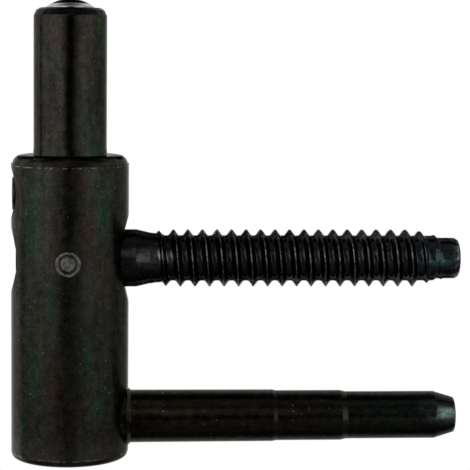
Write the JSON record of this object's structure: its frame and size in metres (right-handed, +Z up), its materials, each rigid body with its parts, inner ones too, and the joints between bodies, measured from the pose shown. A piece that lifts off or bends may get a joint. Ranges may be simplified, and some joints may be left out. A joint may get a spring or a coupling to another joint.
{
  "type": "drill-in hinge frame half",
  "caption": "Frame half of a drill-in door hinge: an upright barrel with a hinge pin on top, a coarse threaded spindle and a plain support pin at its side.",
  "frame": {"origin": "on the hinge axis at the barrel's top face, where the hinge pin's free length begins", "axes": "+Z up the hinge axis towards the bearing tip, +X out along the threaded spindle and the support pin"},
  "size_m": [0.0616, 0.0161, 0.0625],
  "materials": {
    "barrel_steel": "blackened, satin, worn bright at the chamfer edges",
    "hinge_pin_steel": "blackened, satin",
    "bearing_steel": "bright polished steel",
    "spindle_steel": "blue-black, glossier, bright along the thread crests",
    "support_pin_steel": "blackened, satin",
    "locking_pin_steel": "staked grey steel",
    "screw_steel": "blackened"
  },
  "bodies": {
    "root": {"barrel": "barrel_steel", "hinge_pin": "hinge_pin_steel", "bearing_tip": "bearing_steel", "threaded_spindle": "spindle_steel", "support_pin": "support_pin_steel", "locking_pin": "locking_pin_steel", "clamp_screw": "screw_steel"}
  },
  "joints": []
}
